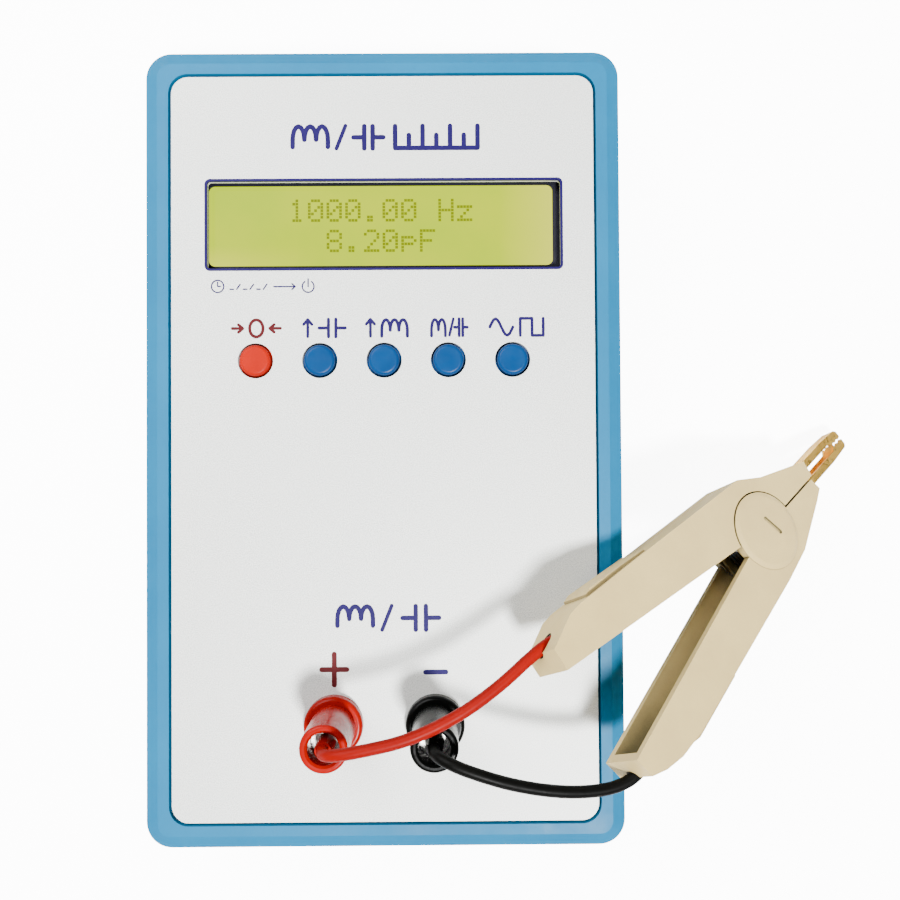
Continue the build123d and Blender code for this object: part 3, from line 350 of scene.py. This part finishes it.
INK_INDIGO = plastic(
    "ink_indigo", (0.008, 0.0022, 0.062), (0.006, 0.0018, 0.050), 0.5, 5000, 500, 0.1, speck=0.3, shine=0.1
)
INK_RED = plastic(
    "ink_red_brown", (0.070, 0.0038, 0.0055), (0.058, 0.003, 0.0045), 0.5, 5000, 500, 0.1,
    speck=0.3, shine=0.1,
)


def panel_material():
    """Silver-white film: fine bright and dark specks, a few soft marks and a satin sheen."""
    n = Nodes("panel_silver")
    fine = n.spread(n.noise(5200, 2, 0.7), 0.32, 0.68)
    cloud = n.spread(n.noise(24, 4), 0.3, 0.7)
    base = n.mix(fine, (0.40, 0.42, 0.40), (0.84, 0.85, 0.82))
    n.set(Base_Color=n.mix(n.spread(cloud, 0, 1, 0, 0.3), base, (0.66, 0.67, 0.64)))
    n.set(Metallic=0.12, Roughness=n.spread(fine, 0, 1, 0.42, 0.56))
    n.bump(fine, 0.12, METAL_GRAIN_DEPTH)
    return n.mat


UNLIT_DISPLAY = (0.01, 0.012, 0.0)
DISPLAY_SHINE = 0.02
FILM_GLOW, DOTS_GLOW = 1.35, 0.95
RIGHT_GLOW_X, LEFT_GLOW_X, LOW_GLOW_Y = (0.022, 0.034), (-0.012, -0.034), (0.0385, 0.0345)


def display_material():
    """Lit liquid crystal film: yellow-green, paler towards the right end and the lower left corner."""
    n = Nodes("display_lit")
    split = n.add("SeparateXYZ")
    n.link(n.coord, split.inputs[0])
    x, y = split.outputs[0], split.outputs[1]
    right = n.spread(x, *RIGHT_GLOW_X)
    left = n.add("Math", operation="MULTIPLY")
    n.link(n.spread(x, *LEFT_GLOW_X), left.inputs[0])
    n.link(n.spread(y, *LOW_GLOW_Y), left.inputs[1])
    green = n.mix(n.spread(n.noise(70, 3), 0.3, 0.7), (0.62, 0.84, 0.002), (0.74, 0.90, 0.002))
    paler = n.mix(left.outputs[0], green, (0.92, 0.99, 0.05))
    glow = n.mix(right, paler, (0.98, 1.0, 0.09))
    n.set(
        Base_Color=UNLIT_DISPLAY, Roughness=0.12, Specular_IOR_Level=DISPLAY_SHINE, Emission_Color=glow,
        Emission_Strength=FILM_GLOW,
    )
    return n.mat


def dots_material():
    """The characters' dots: the film's colour, much darker."""
    n = Nodes("display_dots")
    tone = n.mix(n.spread(n.noise(900, 2), 0.3, 0.7), (0.32, 0.41, 0.002), (0.38, 0.47, 0.002))
    n.set(
        Base_Color=UNLIT_DISPLAY, Roughness=0.2, Specular_IOR_Level=DISPLAY_SHINE, Emission_Color=tone,
        Emission_Strength=DOTS_GLOW,
    )
    return n.mat


PANEL = panel_material()
DISPLAY = display_material()
DOTS = dots_material()

NODE_MATERIAL = {
    "rear_shell": SHELL, "front_shell": SHELL, "battery_door": SHELL, "front_panel": PANEL,
    "lcd_bezel": BEZEL, "lcd_glass": DISPLAY, "lcd_backlight": FILM, "lcd_contact_strips": RUBBER,
    "lcd_board": BOARD, "lcd_header": DARK, "main_board": BOARD, "microcontroller": DARK,
    "oscillator_chip": DARK, "crystal": PLATE, "reed_relay": DARK, "reference_inductor": FERRITE,
    "reference_capacitors": FILM, "battery_cells": CELL, "battery_contacts": PLATE,
    "switch_bodies": DARK, "switch_covers": PLATE, "post_nuts": PLATE, "case_screws": STEEL,
    "board_screws": STEEL, "lcd_screws": STEEL, "clip_upper_arm": BEIGE, "clip_lower_arm": BEIGE,
    "clip_upper_jaw": GOLD, "clip_lower_jaw": GOLD, "clip_pivot_pin": PLATE, "clip_spring": SPRING,
    "red_lead": LEAD_RED, "black_lead": LEAD_BLACK,
}
for key in ("zero", "capacitance", "inductance", "range", "function"):
    NODE_MATERIAL[key + "_button"] = ORANGE if key == "zero" else BLUE
    NODE_MATERIAL[key + "_plunger"] = DARK
for colour, gloss in (("red", RED), ("black", BLACK)):
    for part in ("post_base", "post_cap", "plug_boot"):
        NODE_MATERIAL[f"{colour}_{part}"] = gloss
    for part in ("post_stem", "post_insert", "plug_pin"):
        NODE_MATERIAL[f"{colour}_{part}"] = PLATE
    NODE_MATERIAL[colour + "_post_washer"] = DARK

for name, node in NODES.items():
    node.data.materials.clear()
    node.data.materials.append(NODE_MATERIAL[name])


# ------------------------------------------------------------------ softened edges
WELD, FLAT_DEGREES, SHARP_DEGREES, BEVEL_SEGMENTS = 0.000002, 0.6, 30, 2


def softened(node, width):
    """The CAD node's own surface with its sharp edges rounded, in its place."""
    bm = bmesh.new()
    bm.from_mesh(NODES[node].data)
    bmesh.ops.remove_doubles(bm, verts=bm.verts, dist=WELD)
    bmesh.ops.dissolve_limit(
        bm, angle_limit=math.radians(FLAT_DEGREES), use_dissolve_boundaries=False,
        verts=bm.verts, edges=bm.edges,
    )
    sharp = [
        e for e in bm.edges
        if len(e.link_faces) == 2 and e.calc_face_angle(0) > math.radians(SHARP_DEGREES)
    ]
    bmesh.ops.bevel(
        bm, geom=sharp, offset=width * MM, segments=BEVEL_SEGMENTS, affect="EDGES", clamp_overlap=True,
        profile=0.5,
    )
    bmesh.ops.triangulate(bm, faces=[f for f in bm.faces if len(f.verts) > 4])
    mesh = bpy.data.meshes.new(node + "_look")
    bm.to_mesh(mesh)
    bm.free()
    smooth_by_area(mesh)
    obj = new_object(node + "_look", mesh, BODY_OF[node], NODE_MATERIAL[node])
    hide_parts(node)
    return obj


EDGE_WIDTHS = {
    "front_shell": 0.35, "rear_shell": 0.25, "front_panel": 0.08, "clip_upper_arm": 0.22,
    "clip_lower_arm": 0.22,
    "clip_upper_jaw": 0.06, "clip_lower_jaw": 0.06, "lcd_bezel": 0.1,
    "red_post_stem": 0.08, "black_post_stem": 0.08, "battery_door": 0.12,
}
LOOKS = {node: softened(node, width) for node, width in EDGE_WIDTHS.items()}


# ------------------------------------------------------------------ leads as meshes
def add_lead(node, route, body, material):
    points = spline_points(route)
    obj = new_object(node + "_tube", tube_mesh(node + "_tube", points, LEAD_D / 2 * MM), body, material)
    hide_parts(node)
    return obj, points


red_lead, red_path = add_lead("red_lead", RED_ROUTE, "root", LEAD_RED)
black_lead, black_path = add_lead("black_lead", BLACK_ROUTE, None, LEAD_BLACK)
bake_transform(black_lead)
spring = new_object("clip_spring_look", NODES["clip_spring"].data.copy(), None, SPRING)
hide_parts("clip_spring")
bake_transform(spring)


# ------------------------------------------------------------------ printed marks
INK_LIFT = 0.012  # the first stroke's height above the panel
STROKE_STEP = 0.0004  # how much higher each further stroke lies


class Print:
    """Flat marks laid on a face, each stroke a hair above the last."""

    def __init__(self, height):
        self.verts, self.faces, self.z = [], [], height

    def polygon(self, points):
        start = len(self.verts)
        self.verts += [(x * MM, y * MM, self.z * MM) for x, y in points]
        self.faces.append(tuple(range(start, start + len(points))))
        self.z += STROKE_STEP

    def bar(self, a, b, width, round_steps=6):
        """A straight stroke with round ends."""
        (ax, ay), (bx, by) = a, b
        heading = math.atan2(by - ay, bx - ax)
        outline = []
        for (cx, cy), turn in (((bx, by), -math.pi / 2), ((ax, ay), math.pi / 2)):
            for k in range(round_steps + 1):
                t = heading + turn + math.pi * k / round_steps
                outline.append((cx + width / 2 * math.cos(t), cy + width / 2 * math.sin(t)))
        self.polygon(outline)

    def line(self, points, width):
        for a, b in zip(points, points[1:]):
            self.bar(a, b, width)

    def arc(self, cx, cy, rx, ry, start, end, width, steps=12):
        turns = [math.radians(start + (end - start) * k / steps) for k in range(steps + 1)]
        self.line([(cx + rx * math.cos(t), cy + ry * math.sin(t)) for t in turns], width)

    def coil(self, x, y, length, height, loops, width):
        """An inductor sign: a row of humps on two short feet."""
        r = length / loops / 2
        for k in range(loops):
            self.arc(x + r * (2 * k + 1), y, r, height, 180, 0, width, 8)
        self.bar((x, y), (x, y - height * 0.55), width)
        self.bar((x + length, y), (x + length, y - height * 0.55), width)

    def capacitor(self, x, y, length, height, width):
        """A capacitor sign: two plates with a short wire on each side."""
        gap = length * 0.14
        middle = x + length / 2
        for side in (-1, 1):
            self.bar((middle + side * gap, y - height / 2), (middle + side * gap, y + height / 2), width)
            self.bar((middle + side * gap, y), (middle + side * length / 2, y), width)

    def arrow(self, x0, y0, x1, y1, head, width):
        self.bar((x0, y0), (x1, y1), width)
        heading = math.atan2(y1 - y0, x1 - x0)
        for side in (-1, 1):
            t = heading + math.pi + side * 0.7
            self.bar((x1, y1), (x1 + head * math.cos(t), y1 + head * math.sin(t)), width)

    def finish(self, name, material):
        new_object(name, mesh_from(name, self.verts, self.faces), "root", material)


def heading_marks(p):
    """Coil, stroke, capacitor and a measuring scale."""
    p.coil(-16.8, 57.6, 6.6, 2.5, 3, 0.9)
    p.bar((-8.6, 55.9), (-6.9, 60.2), 0.75)
    p.capacitor(-5.4, 58.0, 5.6, 4.2, 0.9)
    x0, y0, tick_pitch, tall, short = 2.4, 55.95, 2.575, 60.1, 58.4
    p.bar((x0, y0), (17.85, y0), 0.9)
    for k in range(7):
        p.bar((x0 + tick_pitch * k, y0), (x0 + tick_pitch * k, tall if k % 2 == 0 else short), 0.9)


def switch_off_marks(p):
    """Small marks under the display: clock, dashes, arrow and switch-off ring."""
    p.arc(-30.9, 30.1, 1.15, 1.15, 0, 360, 0.26, 20)
    p.line([(-30.9, 30.9), (-30.9, 30.1), (-30.35, 30.1)], 0.24)
    for k in range(6):
        p.bar((-28.6 + 1.25 * k, 29.55), (-27.95 + 1.25 * k, 29.55 + 0.9 * (k % 2)), 0.26)
    p.arrow(-20.4, 30.0, -16.4, 30.0, 0.8, 0.26)
    p.arc(-14.0, 30.0, 1.1, 1.1, 125, 415, 0.26, 18)
    p.bar((-14.0, 30.0), (-14.0, 31.4), 0.26)


def button_marks(p):
    """Up-arrows with a capacitor and a coil, coil over capacitor, and two waves."""
    for x, sign in ((-15.0, "capacitor"), (-3.3, "coil")):
        p.arrow(x + 0.9, 20.6, x + 0.9, 23.8, 1.2, 0.55)
        if sign == "capacitor":
            p.capacitor(x + 3.0, 22.2, 4.9, 3.3, 0.6)
        else:
            p.coil(x + 3.0, 21.7, 4.8, 2.0, 3, 0.6)
    p.coil(9.0, 21.7, 2.6, 2.0, 2, 0.55)
    p.bar((12.35, 20.7), (13.1, 23.8), 0.5)
    p.capacitor(13.3, 22.2, 2.4, 3.2, 0.55)
    p.line([(19.9 + 0.36 * k, 22.2 + 1.55 * math.sin(k * math.pi / 6)) for k in range(13)], 0.55)
    p.line([(25.6, 20.6), (25.6, 23.8), (27.8, 23.8), (27.8, 20.6), (29.9, 20.6), (29.9, 23.8)], 0.55)


def terminal_marks(p):
    """Coil, stroke, capacitor and the minus sign."""
    p.coil(-8.8, -32.0, 6.6, 2.3, 3, 0.85)
    p.bar((-0.5, -34.1), (1.3, -29.6), 0.7)
    p.capacitor(3.3, -31.9, 6.8, 4.4, 0.85)
    p.bar((7.5, -41.95), (11.3, -41.95), 0.9)


def indigo_marks():
    p = Print(PANEL_Z + INK_LIFT)
    for draw in (heading_marks, switch_off_marks, button_marks, terminal_marks):
        draw(p)
    p.finish("indigo_print", INK_INDIGO)


def red_marks():
    """Ring between two arrows for the zero button, and the plus sign."""
    p = Print(PANEL_Z + INK_LIFT)
    p.arc(-23.7, 22.2, 1.25, 1.6, 0, 360, 0.6, 20)
    p.arrow(-28.2, 22.2, -26.2, 22.2, 1.1, 0.55)
    p.arrow(-19.2, 22.2, -21.2, 22.2, 1.1, 0.55)
    p.bar((-9.41, -44.2), (-9.41, -38.5), 0.95)
    p.bar((-11.75, -41.36), (-7.07, -41.36), 0.95)
    p.finish("red_print", INK_RED)


WINDOW_X, WINDOW_Y = 0.2, 41.65


def window_border():
    """The dark printed line round the display window."""
    def ring(half_w, half_l, r, z):
        out = []
        for quarter, (sx, sy) in enumerate(((1, 1), (-1, 1), (-1, -1), (1, -1))):
            for k in range(7):
                t = math.radians(90 * quarter + 15 * k)
                out.append((
                    WINDOW_X + sx * (half_w - r) + r * math.cos(t),
                    WINDOW_Y + sy * (half_l - r) + r * math.sin(t), z,
                ))
        return out

    rings = [
        ring(33.1, 8.2, 0.65, PANEL_Z - 0.6), ring(33.1, 8.2, 0.65, PANEL_Z + 0.008),
        ring(33.55, 8.65, 1.0, PANEL_Z + INK_LIFT),
    ]
    verts = [tuple(v * MM for v in p) for r in rings for p in r]
    count = len(rings[0])
    faces = []
    for i in range(len(rings) - 1):
        for k in range(count):
            j = (k + 1) % count
            faces.append((i * count + k, i * count + j, (i + 1) * count + j, (i + 1) * count + k))
    new_object("window_border", mesh_from("window_border", verts, faces), "root", INK_INDIGO)


indigo_marks()
red_marks()
window_border()

# ------------------------------------------------------------------ display characters
FONT = {
    "0": "01110 10001 10011 10101 11001 10001 01110",
    "1": "00100 01100 00100 00100 00100 00100 01110",
    "2": "01110 10001 00001 00010 00100 01000 11111",
    "8": "01110 10001 10001 01110 10001 10001 01110",
    ".": "00000 00000 00000 00000 00000 01100 01100",
    "p": "00000 00000 11110 10001 11110 10000 10000",
    "F": "11111 10000 10000 11110 10000 10000 10000",
    "H": "10001 10001 10001 11111 10001 10001 10001",
    "z": "00000 00000 11111 00010 00100 01000 11111",
}
CHAR_PITCH, DOT_X, DOT_Y, DOT = 3.55, 0.60, 0.63, 0.53
FIRST_CHAR_X, DOT_LIFT = -28.65, 0.02
DISPLAY_LINES = (("1000.00 Hz", 3, 47.25), ("8.20pF", 5, 41.44))  # text, first column, top edge


def display_dots():
    p = Print(GLASS_Z + DOT_LIFT)
    for text, column, top in DISPLAY_LINES:
        for i, char in enumerate(text):
            left = FIRST_CHAR_X + CHAR_PITCH * (column + i)
            for row, bits in enumerate(FONT.get(char, "").split()):
                for col, bit in enumerate(bits):
                    if bit == "1":
                        x, y = left + DOT_X * col, top - DOT_Y * row
                        p.polygon([(x, y - DOT), (x + DOT, y - DOT), (x + DOT, y), (x, y)])
                        p.z -= STROKE_STEP  # the dots never cross, so they share one height
    p.finish("display_dots", DOTS)


display_dots()


# ------------------------------------------------------------------ floor and light
FLOOR_HALF, FLOOR_Z = 3, -0.0002
FLOOR_GLOW = 9  # seen by the camera alone, so that the ground shows white
KEY_AT, KEY_AIM, KEY_SIZE, KEY_POWER = (0.34, -0.72, 1.82), (0, 0, 0.03), 0.28, 128.0
SHEEN_AT, SHEEN_AIM, SHEEN_SIZE, SHEEN_POWER = (-0.22, 0.24, 0.42), (-0.03, 0.03, 0.03), 0.34, 4.5
SKY_TOWARDS = (-0.6, 0.6, -0.45)  # the brighter side of the surroundings
SKY_RAMP = {"From Min": -0.8, "From Max": 0.8, "To Min": 0.05, "To Max": 0.8}


def add_floor():
    h, z = FLOOR_HALF, FLOOR_Z
    mesh = mesh_from("floor", [(-h, -h, z), (h, -h, z), (h, h, z), (-h, h, z)], [(0, 1, 2, 3)])
    n = Nodes("floor_white")
    cloud = n.spread(n.noise(6, 3), 0.3, 0.7)
    n.set(Base_Color=n.mix(cloud, (0.93, 0.93, 0.93), (0.95, 0.95, 0.95)), Roughness=0.6)
    n.set(Emission_Color=(1, 1, 1))
    glow = n.spread(n.add("LightPath").outputs["Is Camera Ray"], 0, 1, 0, FLOOR_GLOW)
    n.link(glow, n.bsdf.inputs["Emission Strength"])
    floor = bpy.data.objects.new("floor", mesh)
    bpy.context.scene.collection.objects.link(floor)
    floor.data.materials.append(n.mat)


def add_light(name, place, target, size, power):
    data = bpy.data.lights.new(name, "AREA")
    data.shape = "SQUARE"
    data.size = size
    data.energy = power
    light = bpy.data.objects.new(name, data)
    light.location = place
    light.rotation_euler = (Vector(target) - Vector(place)).to_track_quat("-Z", "Y").to_euler()
    bpy.context.scene.collection.objects.link(light)


def add_world():
    """White surroundings whose strength rises towards one side."""
    world = bpy.data.worlds.new("world")
    bpy.context.scene.world = world
    world.use_nodes = True
    nodes, links = world.node_tree.nodes, world.node_tree.links
    background = nodes["Background"]
    background.inputs["Color"].default_value = (1.0, 1.0, 1.0, 1)
    heading = nodes.new("ShaderNodeVectorMath")
    heading.operation = "DOT_PRODUCT"
    heading.inputs[1].default_value = SKY_TOWARDS
    ramp = nodes.new("ShaderNodeMapRange")
    for key, value in SKY_RAMP.items():
        ramp.inputs[key].default_value = value
    links.new(nodes.new("ShaderNodeTexCoord").outputs["Generated"], heading.inputs[0])
    links.new(heading.outputs["Value"], ramp.inputs["Value"])
    links.new(ramp.outputs["Result"], background.inputs["Strength"])


add_floor()
add_light("key", KEY_AT, KEY_AIM, KEY_SIZE, KEY_POWER)
add_light("sheen", SHEEN_AT, SHEEN_AIM, SHEEN_SIZE, SHEEN_POWER)
add_world()
